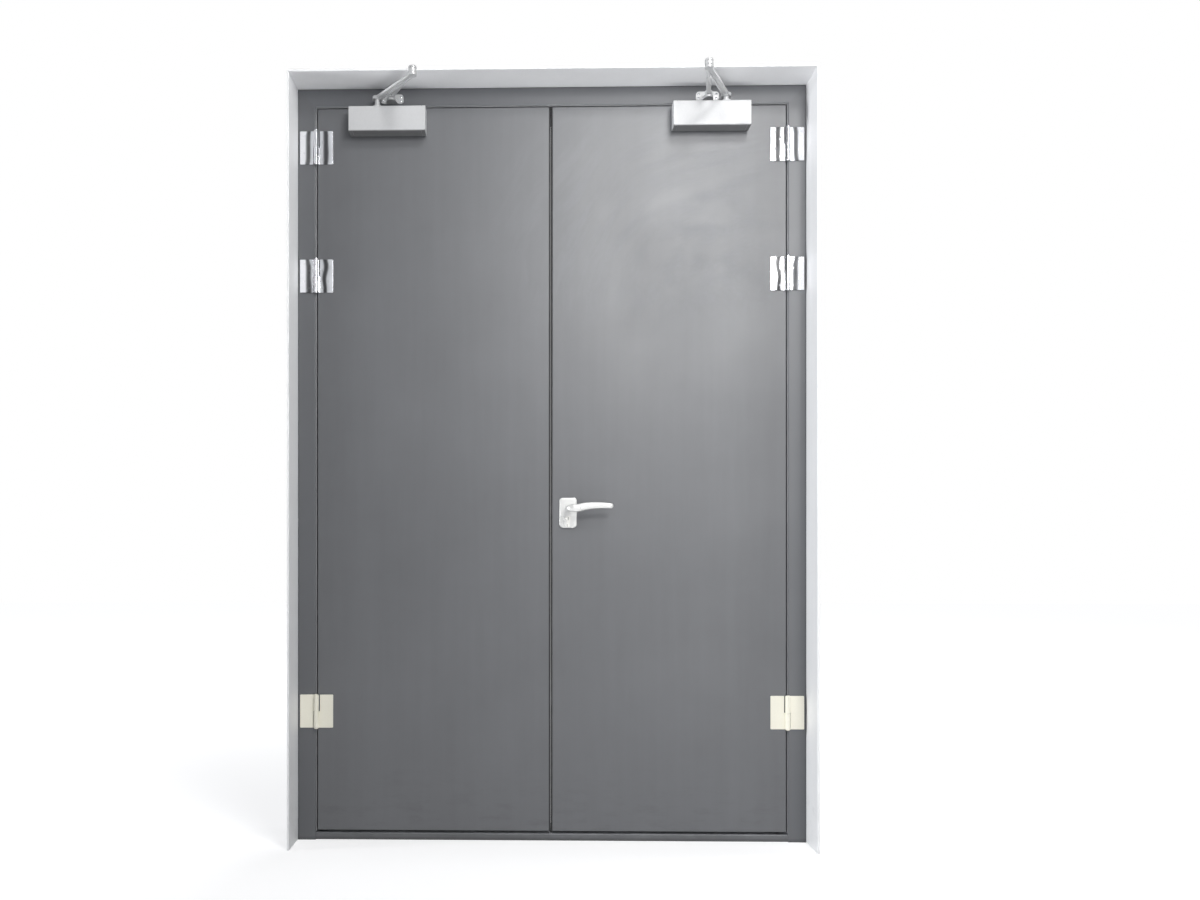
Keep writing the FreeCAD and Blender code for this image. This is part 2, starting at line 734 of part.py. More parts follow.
def make_shoe(side):
    """Bracket on the head: a screwed plate, a tongue under the forearm's foot, and its pivot stub."""
    x = shoe_x[side]
    tongue_top = forearm_z - shoe_below_forearm
    low = tongue_top - shoe_tongue
    half = shoe_width / 2
    high = low + shoe_height
    corners = [(x - half, low), (x + half, low), (x + half, high), (x - half, high)]
    plate = outline(corners, [shoe_corner] * 4, upright(front_y - shoe_plate)).extrude(V(0, shoe_plate, 0))
    tip = front_y - shoe_reach
    wide = shoe_tongue_half + shoe_tongue_flare
    tongue = [(x - wide, front_y - shoe_plate), (x - shoe_tongue_half, tip),
              (x + shoe_tongue_half, tip), (x + wide, front_y - shoe_plate)]
    arm = outline(tongue, [0] * 4, flat(low)).extrude(V(0, 0, shoe_tongue))
    nose = post(x, tip, low, tongue_top, shoe_tongue_half)
    stub = post(x, tip, low, forearm_z - open_pivot_gap, shoe_pivot_radius)
    shape = plate.fuse([arm, nose, stub]).removeSplitter()
    save(side + "_closer_shoe", for_side(shape, side))


def oval(centre, along, height, thickness):
    """Upright oval section of the lever, square to the way it runs and higher than it is thick."""
    sideways = V(0, 0, 1).cross(along).normalize()
    up = along.cross(sideways).normalize()
    curve = Part.Ellipse(centre + up * (height / 2), centre + along.cross(up) * (thickness / 2), centre)
    return Part.Wire(curve.toShape())


def lever_shape():
    """Front lever: a round neck that turns a quarter circle into a tapering, arched grip."""
    root_y = front_y - neck_root_gap
    bend_y = front_y - lever_stand_off + lever_turn_radius
    neck_size = 2 * (neck_radius - neck_step)
    neck = Part.makeCylinder(neck_radius, root_y - bend_y, V(hub_x, bend_y, hub_z), V(0, 1, 0))
    overlap = lever_turn_radius * math.pi / 2 / lever_turn_sections
    sections = [oval(V(hub_x, bend_y + overlap, hub_z), V(0, -1, 0), neck_size, neck_size - least_oval)]
    for i in range(lever_turn_sections + 1):
        share = i / lever_turn_sections
        angle = math.pi / 2 * share
        centre = V(hub_x + lever_turn_radius * (1 - math.cos(angle)),
                   bend_y - lever_turn_radius * math.sin(angle), hub_z)
        height = neck_size + (lever_root_height - neck_size) * share
        thickness = neck_size - least_oval + (lever_root_thickness - neck_size) * share
        sections.append(oval(centre, V(math.sin(angle), -math.cos(angle), 0), height, thickness))
    grip_start = hub_x + lever_turn_radius
    grip_length = lever_reach - lever_turn_radius
    step = (grip_length - lever_tip_round) / lever_grip_sections
    stations = [(step * i, 0.0) for i in range(1, lever_grip_sections + 1)]
    for angle in map(math.radians, lever_tip_angles):
        run = grip_length - lever_tip_round * (1 - math.sin(angle))
        stations.append((run, 2 * lever_tip_round * (1 - math.cos(angle))))
    for run, shrink in stations:
        share = run / grip_length
        off_peak = (share - lever_rise_peak) / lever_rise_peak
        rise = lever_rise * (1 - off_peak ** 2)
        slope = -2 * lever_rise * off_peak / lever_rise_peak / grip_length
        centre = V(grip_start + run, front_y - lever_stand_off, hub_z + rise)
        height = lever_root_height + (lever_tip_height - lever_root_height) * share
        thickness = lever_root_thickness + (lever_tip_thickness - lever_root_thickness) * share
        sections.append(oval(centre, V(1, 0, slope).normalize(), height - shrink, thickness - shrink))
    grip = Part.makeLoft(sections, True, True)
    return neck.fuse(grip).removeSplitter()


def make_lever():
    """Both levers on one square spindle, with their plates."""
    socket = spindle_side / 2 + spindle_clearance
    half = spindle_side / 2
    lever = lever_shape()
    socket_end = front_y - spindle_in_neck
    square = box(hub_x - socket, hub_x + socket, socket_end, front_y, hub_z - socket, hub_z + socket)
    lever = lever.cut(square)
    turned = lever.mirror(V(0, leaf_mid_y, 0), V(0, 1, 0))
    save("front_lever", lever)
    save("back_lever", turned)
    bar_start = socket_end + spindle_end_gap
    bar = box(hub_x - half, hub_x + half, bar_start, 2 * leaf_mid_y - bar_start, hub_z - half, hub_z + half)
    save("lever_spindle", bar)


def make_handle_plates():
    """Crowned plates with a keyhole-shaped cut and the neck's hole."""
    left, right = hub_x - plate_width / 2, hub_x + plate_width / 2
    low, high = hub_z - plate_below_hub, hub_z + plate_above_hub
    corners = [(left, low), (right, low), (right, high), (left, high)]
    radii = [plate_bottom_corner, plate_bottom_corner, plate_top_corner, plate_top_corner]
    face_y = front_y - plate_thickness
    plate = outline(corners, radii, upright(face_y)).extrude(V(0, plate_thickness, 0))
    rim = [e for e in plate.Edges if e.BoundBox.YMax < face_y + plate_thickness / 2]
    plate = plate.makeChamfer(plate_crown, rim)
    neck_hole = across(hub_x, hub_z, face_y - overrun, front_y + overrun, neck_radius + neck_clearance)
    plate = plate.cut(neck_hole).cut(cylinder_shape(cut_clearance, face_y - overrun, front_y + overrun))
    save("front_handle_plate", plate)
    save("back_handle_plate", plate.mirror(V(0, leaf_mid_y, 0), V(0, 1, 0)))


make_frame()
make_sill()
make_seals()
make_meeting_seals()
make_lining()
make_right_leaf()
make_left_leaf()
make_lock()
make_strike_and_bolts()
make_hinges()
for door_side in ("right", "left"):
    make_closer_body(door_side)
    make_main_arm(door_side)
    make_forearm(door_side)
    make_shoe(door_side)
make_lever()
make_handle_plates()
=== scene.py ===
import math

import bpy
import numpy as np
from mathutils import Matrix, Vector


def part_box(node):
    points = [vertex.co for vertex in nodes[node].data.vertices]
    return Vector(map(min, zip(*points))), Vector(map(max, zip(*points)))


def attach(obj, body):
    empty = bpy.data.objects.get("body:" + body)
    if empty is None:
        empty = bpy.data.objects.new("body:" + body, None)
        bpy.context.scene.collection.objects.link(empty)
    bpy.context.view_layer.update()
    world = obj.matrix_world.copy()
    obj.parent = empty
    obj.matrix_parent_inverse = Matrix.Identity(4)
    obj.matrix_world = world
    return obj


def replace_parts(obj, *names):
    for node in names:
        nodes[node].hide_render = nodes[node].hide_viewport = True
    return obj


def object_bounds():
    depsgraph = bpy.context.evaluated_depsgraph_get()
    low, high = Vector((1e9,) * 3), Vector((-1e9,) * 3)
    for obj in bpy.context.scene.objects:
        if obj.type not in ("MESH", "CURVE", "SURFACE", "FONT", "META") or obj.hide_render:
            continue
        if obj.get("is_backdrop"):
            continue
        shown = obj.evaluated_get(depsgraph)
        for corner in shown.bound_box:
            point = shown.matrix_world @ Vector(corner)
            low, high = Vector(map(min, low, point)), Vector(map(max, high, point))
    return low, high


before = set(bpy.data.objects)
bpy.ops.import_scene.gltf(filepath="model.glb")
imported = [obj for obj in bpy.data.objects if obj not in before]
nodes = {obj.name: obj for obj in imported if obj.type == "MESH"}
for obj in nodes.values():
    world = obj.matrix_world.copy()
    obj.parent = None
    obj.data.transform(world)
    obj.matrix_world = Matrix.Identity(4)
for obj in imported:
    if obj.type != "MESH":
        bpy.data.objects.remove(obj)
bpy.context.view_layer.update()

mm = 0.001

# Camera: in front of the right leaf, a little below half height, level and shifted up, as in
# the photograph.
camera = bpy.data.objects.new("camera", bpy.data.cameras.new("camera"))
camera.location = (-0.0765, -3.0032, 0.8657)
camera.rotation_euler = (math.radians(90), 0, math.radians(1.161))
camera.data.lens = 29.36
camera.data.sensor_width = 36
camera.data.shift_x = 0.0787
camera.data.shift_y = 0.0862
bpy.context.scene.collection.objects.link(camera)
bpy.context.scene.camera = camera
bpy.context.scene.view_settings.view_transform = "Standard"


def tree_of(owner):
    """Empties the node tree of a material or world and gives a short way to add and wire nodes:
    add(kind, {input: value or socket}, **settings) makes one node and fills its inputs."""
    owner.use_nodes = True
    tree = owner.node_tree
    tree.nodes.clear()

    def add(kind, inputs=None, **settings):
        node = tree.nodes.new(kind)
        for key, value in settings.items():
            setattr(node, key, value)
        for key, value in (inputs or {}).items():
            if isinstance(value, bpy.types.NodeSocket):
                tree.links.new(value, node.inputs[key])
            else:
                node.inputs[key].default_value = value
        return node

    return add


def seen_directly(add):
    """1 for the camera's own rays and for those that mirror or pass through to it, else 0."""
    path = add("ShaderNodeLightPath")
    direct = add("ShaderNodeMath", {0: path.outputs["Is Camera Ray"],
                                    1: path.outputs["Is Glossy Ray"]}, operation="MAXIMUM")
    return add("ShaderNodeMath", {0: direct.outputs[0], 1: path.outputs["Is Transmission Ray"]},
               operation="MAXIMUM").outputs[0]


# World: a weak even fill for all surfaces and white for the camera. Bright metal mirrors a pale
# room with dark side walls, as in the corridor that such a door closes.
world = bpy.data.worlds.new("studio")
bpy.context.scene.world = world
add = tree_of(world)
fill = add("ShaderNodeBackground", {"Color": (0.93, 0.96, 1.0, 1), "Strength": 0.22})
path = add("ShaderNodeLightPath")
direction = add("ShaderNodeTexCoord").outputs["Generated"]
across = add("ShaderNodeSeparateXYZ", {0: direction})
sideways = add("ShaderNodeMath", {0: across.outputs["X"]}, operation="ABSOLUTE")
dark_walls = add("ShaderNodeMapRange", {"Value": sideways.outputs[0], "From Min": 0.10, "From Max": 0.44,
                                        "To Min": 0.86, "To Max": 0.08}, interpolation_type="SMOOTHSTEP")
mirrored = add("ShaderNodeBackground", {"Color": (0.96, 0.98, 1.0, 1),
                                        "Strength": dark_walls.outputs[0]})
backdrop = add("ShaderNodeBackground", {"Color": (1, 1, 1, 1), "Strength": 1.0})
glossy = add("ShaderNodeMixShader", {0: path.outputs["Is Glossy Ray"], 1: fill.outputs[0],
                                     2: mirrored.outputs[0]})
seen = add("ShaderNodeMixShader", {0: path.outputs["Is Camera Ray"], 1: glossy.outputs[0],
                                   2: backdrop.outputs[0]})
add("ShaderNodeOutputWorld", {"Surface": seen.outputs[0]})

# Floor: one pale sheet that the camera sees lifted to white away from the door, while close to
# the door it keeps the shadow. It gives the door no light of its own.
floor_half = 14.0
floor_mesh = bpy.data.meshes.new("studio_floor")
floor_mesh.from_pydata([(-floor_half, -floor_half, 0), (floor_half, -floor_half, 0),
                        (floor_half, floor_half, 0), (-floor_half, floor_half, 0)], [], [(0, 1, 2, 3)])
studio_floor = bpy.data.objects.new("studio_floor", floor_mesh)
bpy.context.scene.collection.objects.link(studio_floor)
floor_finish = bpy.data.materials.new("pale_floor")
add = tree_of(floor_finish)
matt = add("ShaderNodeBsdfDiffuse", {"Color": (0.52, 0.52, 0.53, 1)})
from_door = add("ShaderNodeVectorMath", {0: add("ShaderNodeTexCoord").outputs["Object"]},
                operation="LENGTH")
raised = add("ShaderNodeMapRange", {"Value": from_door.outputs["Value"], "From Min": 0.8,
                                    "From Max": 4.0, "To Min": 0.58, "To Max": 0.88},
             interpolation_type="SMOOTHSTEP")
lift = add("ShaderNodeEmission", {"Color": (1, 1, 1, 1), "Strength": raised.outputs[0]})
lifted = add("ShaderNodeAddShader", {0: matt.outputs[0], 1: lift.outputs[0]})
shown = add("ShaderNodeMixShader", {0: seen_directly(add), 1: matt.outputs[0], 2: lifted.outputs[0]})
add("ShaderNodeOutputMaterial", {"Surface": shown.outputs[0]})
floor_mesh.materials.append(floor_finish)
studio_floor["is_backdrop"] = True


# Lamps: two high in front, so that the light falls off towards the sill, two weak ones lower
# down, one far out on each side for the lining, and one behind the door.
def soft_lamp(name, place, aim, size, power, colour, beam=180):
    """Rectangular soft lamp at a place, turned to face a point. beam is its width in degrees."""
    lamp = bpy.data.lights.new(name, "AREA")
    lamp.shape = "RECTANGLE"
    lamp.size, lamp.size_y = size
    lamp.energy = power
    lamp.color = colour
    lamp.spread = math.radians(beam)
    holder = bpy.data.objects.new(name, lamp)
    holder.location = place
    away = np.array(aim) - np.array(place)
    holder.rotation_euler = (math.acos(-away[2] / np.linalg.norm(away)), 0,
                             math.atan2(away[1], away[0]) - math.pi / 2)
    holder.visible_camera = False
    bpy.context.scene.collection.objects.link(holder)


warm, plain, cool, cooler = (1.0, 0.995, 0.985), (1.0, 1.0, 1.0), (0.98, 0.99, 1.0), (0.97, 0.985, 1.0)
soft_lamp("high_front", (0.82, -2.5, 2.55), (0.35, 0.0, 1.3), (1.1, 0.9), 44, warm)
soft_lamp("overhead", (0.95, -2.3, 3.8), (0.45, -0.05, 0.8), (0.7, 0.6), 32, warm)
soft_lamp("front_fill", (1.3, -3.6, 1.0), (0.4, 0.0, 0.9), (1.4, 1.4), 18, plain)
soft_lamp("low_front", (0.25, -0.95, 0.15), (0.2, -0.13, 2.27), (1.4, 0.2), 1.5, plain, 60)
soft_lamp("left_fill", (-8.5, -1.45, 1.0), (0.76, -0.11, 0.8), (1.2, 2.6), 600, cooler)
soft_lamp("right_fill", (8.5, 0.4, 1.9), (0.76, -0.1, 1.2), (1.2, 2.6), 300, cool)
soft_lamp("back_fill", (0.6, 3.2, 2.9), (0.0, 0.0, 1.1), (1.8, 1.2), 70, cool)


# Frame: jambs and head folded from 2 mm steel sheet, mitred and welded at the corners, and
# sprayed with nearly the same satin grey as the leaves. All paint here shares one recipe.
def object_noise(add, scale, detail, stretch=(1, 1, 1), rough=0.5):
    """Noise in the piece's own metres, drawn out along each axis by stretch."""
    place = add("ShaderNodeTexCoord").outputs["Object"]
    mapped = add("ShaderNodeMapping", {"Vector": place, "Scale": stretch}, vector_type="TEXTURE")
    return add("ShaderNodeTexNoise", {"Vector": mapped.outputs[0], "Scale": scale, "Detail": detail,
                                      "Roughness": rough}).outputs["Fac"]


def spread(add, value, low, high, start=0.3, end=0.7):
    """Maps a value's run from start to end onto low to high. The middle of a noise lies between
    the two default ends."""
    return add("ShaderNodeMapRange", {"Value": value, "From Min": start, "From Max": end,
                                      "To Min": low, "To Max": high}).outputs[0]


def eased(add, value, low, high, start, end):
    """As spread, but leaving low and reaching high softly."""
    return add("ShaderNodeMapRange", {"Value": value, "From Min": start, "From Max": end,
                                      "To Min": low, "To Max": high},
               interpolation_type="SMOOTHSTEP").outputs[0]


def math_of(add, operation, a, b):
    """One arithmetic step between two values."""
    return add("ShaderNodeMath", {0: a, 1: b}, operation=operation).outputs[0]


def shaded(add, colour, amount):
    """The colour made lighter or darker by an amount that changes over the surface."""
    return add("ShaderNodeMix", {0: 1.0, 6: (*colour, 1), 7: amount}, data_type="RGBA",
               blend_type="MULTIPLY").outputs[2]


def product(add, first, *others):
    """Several values multiplied together."""
    for other in others:
        first = math_of(add, "MULTIPLY", first, other)
    return first


def cloth_arcs_and_painted_sheen(add, place):
    """Pale arcs that a cloth left on the pull face, high on the right leaf, lightened most in a cloudy
    round spot centred where the lamp's highlight falls: partly wipe marks, partly painted sheen. Each point
    is turned into its distance from the elbow of the wiping arm and the angle of its sweep. Noise that runs
    finely with the distance and slowly with the angle draws the arcs."""
    elbow = add("ShaderNodeMapping", {"Vector": place, "Location": (-0.59, 0.0, -1.53),
                                      "Scale": (1.0, 0.0, 1.0)}, vector_type="POINT")
    arm = add("ShaderNodeSeparateXYZ", {0: elbow.outputs[0]}).outputs
    distance = add("ShaderNodeVectorMath", {0: elbow.outputs[0]}, operation="LENGTH").outputs["Value"]
    angle = math_of(add, "ARCTAN2", arm["X"], arm["Z"])
    waver = object_noise(add, 2.4, 2)
    arc = add("ShaderNodeCombineXYZ", {0: math_of(add, "ADD", distance, product(add, waver, 0.16)),
                                       1: product(add, angle, 0.14)})
    streaks = add("ShaderNodeTexNoise", {"Vector": arc.outputs[0], "Scale": 21, "Detail": 4,
                                         "Roughness": 0.6}).outputs["Fac"]
    near = add("ShaderNodeMapping", {"Vector": place, "Location": (-0.62, 0.0, -3.1),
                                     "Scale": (1.75, 0.0, 1.7)}, vector_type="POINT")
    patch = add("ShaderNodeTexGradient", {"Vector": near.outputs[0]}, gradient_type="SPHERICAL")
    cloudy = spread(add, waver, 0.4, 1.4, 0.35, 0.65)
    above_elbow = eased(add, arm["Z"], 0.0, 1.0, 0.0, 0.14)
    depth = add("ShaderNodeSeparateXYZ", {0: place}).outputs["Y"]
    pull_face = math_of(add, "LESS_THAN", depth, -0.03)
    return product(add, patch.outputs["Fac"], cloudy, above_elbow, pull_face,
                   spread(add, streaks, 0.0, 1.0, 0.46, 0.64))


def painted(name, colour, roughness, mottle, peel, leaf_arcs_and_shade=False, foot_patches=0.0, outward_tone=1.0,
            foot_band=1.0):
    """Sprayed paint: cloudy tone, fine runs from top to bottom, orange peel and slow waves in the sheet.
    leaf_arcs_and_shade adds a cloth's pale arcs, lightened round the lamp's highlight as a painted sheen,
    and darkens both upright edges of a leaf as painted shade: towards the hinge side for the lining's
    shadow, and along the meeting edge so that the gap's shade looks wider. foot_patches adds noisy patches
    over the lowest 0.28 m, paler where it is positive and darker where it is negative, and foot_band
    darkens the lowest 10 mm. outward_tone multiplies the tone of faces that look up or away from the door's
    middle: under 1 where they were sprayed thinly, over 1 for boot wear together with painted light in the
    shaded strip under the leaves."""
    material = bpy.data.materials.new(name)
    add = tree_of(material)
    clouds = spread(add, object_noise(add, 2.6, 6, rough=0.62), 1 - mottle, 1 + mottle)
    runs = spread(add, object_noise(add, 9, 3, (0.25, 0.25, 4.5)), 1 - mottle * 0.4, 1 + mottle * 0.4)
    grain = spread(add, object_noise(add, 420, 2), 0.985, 1.015)
    tone = product(add, clouds, runs, grain)
    gloss = spread(add, object_noise(add, 3.2, 5), roughness - 0.05, roughness + 0.05)
    place = add("ShaderNodeTexCoord").outputs["Object"]
    spot = add("ShaderNodeSeparateXYZ", {0: place}).outputs
    if leaf_arcs_and_shade:
        # Painted sheen: the cloth's arcs are lightened most in a round spot where the lamp's highlight
        # falls.
        arcs_and_sheen = cloth_arcs_and_painted_sheen(add, place)
        tone = math_of(add, "ADD", tone, product(add, arcs_and_sheen, 0.42))
        gloss = math_of(add, "ADD", gloss, product(add, arcs_and_sheen, 0.10))
        # Painted shade: the leaf darkens towards the hinge side for the lining's shadow, and along the
        # meeting edge so that the gap's shade looks wider.
        from_middle = math_of(add, "ABSOLUTE", spot["X"], 0.0)
        hinge_edge_shade = eased(add, from_middle, 1.0, 0.82, 0.52, 0.705)
        painted_gap_shade = spread(add, from_middle, 0.5, 1.0, 0.0045, 0.0085)
        tone = product(add, tone, hinge_edge_shade, painted_gap_shade)
    # Noisy patches over the lowest 0.28 m, paler where the amount is positive and darker where it is
    # negative.
    if foot_patches:
        low = eased(add, spot["Z"], 1.0, 0.0, 0.03, 0.28)
        patchy = spread(add, object_noise(add, 22, 5, (2.0, 1, 0.6), 0.65), 0.0, 1.0, 0.5, 0.75)
        tone = math_of(add, "ADD", tone, product(add, low, patchy, foot_patches))
    # Darker along the lowest 10 mm, fading out between 6 and 13 mm above the floor.
    if foot_band < 1:
        tone = product(add, tone, eased(add, spot["Z"], foot_band, 1.0, 0.006, 0.013))
    # Faces that look up or away from the middle change tone: on the lining's wall side darker for a thinner
    # coat, on the sill's top lighter as boot wear and as painted light under the leaves.
    if outward_tone != 1:
        normal = add("ShaderNodeSeparateXYZ", {0: add("ShaderNodeNewGeometry").outputs["Normal"]}).outputs
        outward = product(add, normal["X"], math_of(add, "SIGN", spot["X"], 0.0))
        outward = math_of(add, "MAXIMUM", outward, normal["Z"])
        tone = product(add, tone, spread(add, outward, 1.0, outward_tone, 0.6, 0.8))
    waves = add("ShaderNodeBump", {"Height": object_noise(add, 2.6, 1), "Strength": 0.35,
                                   "Distance": 0.004})
    skin = add("ShaderNodeBump", {"Height": object_noise(add, 520, 1), "Strength": peel,
                                  "Distance": 0.0004, "Normal": waves.outputs[0]})
    paint = add("ShaderNodeBsdfPrincipled", {"Base Color": shaded(add, colour, tone), "Roughness": gloss,
                                             "Normal": skin.outputs[0], "Specular IOR Level": 0.9})
    add("ShaderNodeOutputMaterial", {"Surface": paint.outputs[0]})
    return material


def coat(finish, *names):
    """Puts one finish on whole nodes that keep their own mesh."""
    for name in names:
        nodes[name].data.materials.clear()
        nodes[name].data.materials.append(finish)


frame_paint = painted("frame_paint", (0.086, 0.0903, 0.0998), 0.46, mottle=0.05, peel=0.10)
# The jambs take a darker copy of the head's paint: painted shade for the lining's shadow down both jambs.
jamb_shade_paint = painted("jamb_shade_paint", (0.080, 0.0837, 0.0915), 0.46, mottle=0.05, peel=0.10,
                     foot_band=0.6)
coat(frame_paint, "frame_head")
coat(jamb_shade_paint, "right_jamb", "left_jamb")

# Sill: a closed folded section that lies on the floor between the jambs. It is painted like the frame, its
# top is painted lighter, as boot wear and as painted light in the shaded strip under the leaves, and it is
# darker along its foot.
sill_paint = painted("sill_wear_and_light_paint", (0.090, 0.0935, 0.100), 0.5, mottle=0.12, peel=0.2,
                     foot_patches=0.35, outward_tone=2.2, foot_band=0.5)
coat(sill_paint, "sill")


# Seals: black rubber strips pushed into the stop all round, and one lip screwed to each
# meeting edge. They are cut from a roll, so all have the same dusty bloom.
def rubber(name):
    """Matt black rubber with a dusty bloom and a fine pebbled skin."""
    material = bpy.data.materials.new(name)
    add = tree_of(material)
    bloom = spread(add, object_noise(add, 30, 4), 0.7, 1.6)
    skin = add("ShaderNodeBump", {"Height": object_noise(add, 900, 2), "Strength": 0.3, "Distance": 0.0003})
    body = add("ShaderNodeBsdfPrincipled", {"Base Color": shaded(add, (0.018, 0.018, 0.019), bloom),
                                            "Roughness": 0.72, "Normal": skin.outputs[0],
                                            "Specular IOR Level": 0.3})
    add("ShaderNodeOutputMaterial", {"Surface": body.outputs[0]})
    return material


seal_rubber = rubber("black_rubber")
coat(seal_rubber, *[name for name in nodes if name.endswith("_seal")])

# Lining: pale grey sheet round the recess in front of the frame, lapped over the frame's
# outer edge, turned out at the front and mitred at the top corners.
lining_paint = painted("pale_lining_paint", (0.86, 0.865, 0.875), 0.55, mottle=0.025, peel=0.08,
                       foot_patches=-0.12, outward_tone=0.75)
coat(lining_paint, "right_lining", "left_lining", "head_lining")

# Leaves: a folded front tray and a back sheet of 1.5 mm steel over a board core, sprayed satin dark grey. A
# cloth has left curved smears high on the right leaf, painted lighter round the lamp's highlight as a
# painted sheen, and both upright edges of each leaf carry painted shade.
leaf_paint = painted("leaf_paint", (0.109, 0.113, 0.122), 0.45, mottle=0.085, peel=0.10,
                     leaf_arcs_and_shade=True, foot_patches=-0.2)
coat(leaf_paint, "right_leaf_front", "right_leaf_back", "left_leaf_front", "left_leaf_back")


def board(name):
    """Pressed board: a warm brown with short fibres."""
    material = bpy.data.materials.new(name)
    add = tree_of(material)
    fibres = spread(add, object_noise(add, 160, 4, (1, 1, 5)), 0.75, 1.15)
    body = add("ShaderNodeBsdfPrincipled", {"Base Color": shaded(add, (0.42, 0.35, 0.26), fibres),
                                            "Roughness": 0.9})
    add("ShaderNodeOutputMaterial", {"Surface": body.outputs[0]})
    return material


coat(board("core_board"), "right_leaf_core", "left_leaf_core")


# Lock: a case in the right leaf with its faceplate, the levers' square spindle, and a strike
# and two flush bolts in the left leaf, all bright brushed steel. The key cylinder is satin
# nickel over brass.
def metal(name, colour, roughness, brush=(1, 1, 1), streak=0.06, scratch=0.02, metallic=1.0,
          swage=0.0, shade_below=1.0, shine=0.5):
    """Bare or plated metal: fine streaks along one way and soft cloudy gloss. swage is the height of the
    slow upright waves that the press leaves in both wings, and the colour is painted dark on the slope of
    each wave, as painted dark reflections. shade_below darkens faces that look down, as painted shade on
    the undersides."""
    material = bpy.data.materials.new(name)
    add = tree_of(material)
    lines = object_noise(add, 260, 3, brush)
    tone = spread(add, lines, 1 - streak, 1 + streak * 0.5)
    cloudy = spread(add, object_noise(add, 24, 4), roughness * 0.8, roughness * 1.25)
    # Painted shade: faces that look down are darkened.
    if shade_below < 1:
        facing = add("ShaderNodeSeparateXYZ", {0: add("ShaderNodeNewGeometry").outputs["Normal"]})
        tone = product(add, tone, spread(add, facing.outputs["Z"], shade_below, 1.0, -0.9, -0.3))
    relief = {"Height": lines, "Strength": scratch, "Distance": 0.0004}
    if swage:
        place = add("ShaderNodeSeparateXYZ", {0: add("ShaderNodeTexCoord").outputs["Object"]})
        from_middle = math_of(add, "ABSOLUTE", place.outputs["X"], 0.0)
        mirrored_place = add("ShaderNodeCombineXYZ", {0: from_middle, 2: place.outputs["Z"]})
        wave_scale = 5.818    # pi over ten times the 0.054 m from crest to crest
        wave = {"Vector": mirrored_place.outputs[0], "Scale": wave_scale, "Distortion": 1.5,
                "Detail": 0.0, "Detail Scale": 3.0}
        crests = add("ShaderNodeTexWave", {**wave, "Phase Offset": 0.93}, bands_direction="X")
        # Painted reflection: dark bands on the slope of each wave stand in for the dark side walls mirrored
        # in chrome.
        dark_reflection_bands = add("ShaderNodeTexWave", {**wave, "Phase Offset": 2.5}, bands_direction="X")
        tone = product(add, tone, eased(add, dark_reflection_bands.outputs["Fac"], 0.16, 1.0, 0.0, 0.24))
        relief["Normal"] = add("ShaderNodeBump", {"Height": crests.outputs["Fac"], "Strength": 1.0,
                                                  "Distance": swage}).outputs[0]
    fine = add("ShaderNodeBump", relief)
    body = add("ShaderNodeBsdfPrincipled", {"Base Color": shaded(add, colour, tone), "Roughness": cloudy,
                                            "Metallic": metallic, "Normal": fine.outputs[0],
                                            "Specular IOR Level": shine})
    add("ShaderNodeOutputMaterial", {"Surface": body.outputs[0]})
    return material


brushed_steel = metal("brushed_steel", (0.56, 0.57, 0.58), 0.5, (1, 1, 12), streak=0.16,
                      scratch=0.12)
coat(brushed_steel, "lock_case", "strike_plate", "flush_bolts", "lever_spindle")
satin_nickel = metal("satin_nickel", (0.80, 0.79, 0.76), 0.3, metallic=0.6)
coat(satin_nickel, "key_cylinder")


# Hinges: each is two pressed steel wings on a fixed pin. The jamb wing holds the upper knuckle and the pin,
# the leaf wing the lower knuckle. The upper two on each side are chromed, with painted dark reflection
# bands across the wings, and the lowest is matt cream.
def ringed(rings):
    """Closed skin through a stack of rings: row i, column j is point j of ring i, neighbours make
    four-sided faces, and a fan on the mean point of the first and last ring closes the ends. The
    faces are turned round if the volume, summed over corner triple products, comes out negative."""
    count, size = rings.shape[:2]
    points = np.concatenate([rings.reshape(-1, 3), rings[:1].mean(axis=1), rings[-1:].mean(axis=1)])
    i, j = np.meshgrid(np.arange(count - 1), np.arange(size), indexing="ij")
    k = (j + 1) % size
    quads = np.stack([i * size + j, i * size + k, (i + 1) * size + k, (i + 1) * size + j], axis=-1)
    quads = quads.reshape(-1, 4)
    here, there = np.arange(size), (np.arange(size) + 1) % size
    top = (count - 1) * size
    fans = np.concatenate([np.stack([np.full(size, count * size), there, here], axis=-1),
                           np.stack([np.full(size, count * size + 1), top + here, top + there], axis=-1)])
    triangles = np.concatenate([quads[:, :3], quads[:, [0, 2, 3]], fans])
    a, b, c = points[triangles].transpose(1, 0, 2)
    if np.einsum("ij,ij->", a - points.mean(axis=0), np.cross(b - a, c - a)) < 0:
        quads, fans = quads[:, ::-1], fans[:, ::-1]
    return points, quads, fans


def turned(profile, foot, axis=(0, 0, 1), steps=40):
    """Lathe form: each (radius, height) pair of the profile becomes a circle round the axis."""
    axis = np.array(axis, float)
    helper = np.array([0.0, 1.0, 0.0]) if abs(axis[1]) < 0.9 else np.array([1.0, 0.0, 0.0])
    u = np.cross(axis, helper)
    u /= np.linalg.norm(u)
    v = np.cross(axis, u)
    angle = np.arange(steps) * 2 * np.pi / steps
    circle = np.cos(angle)[:, None] * u + np.sin(angle)[:, None] * v
    radius, height = np.array(profile, float).T
    return ringed(np.array(foot) + radius[:, None, None] * circle + height[:, None, None] * axis)


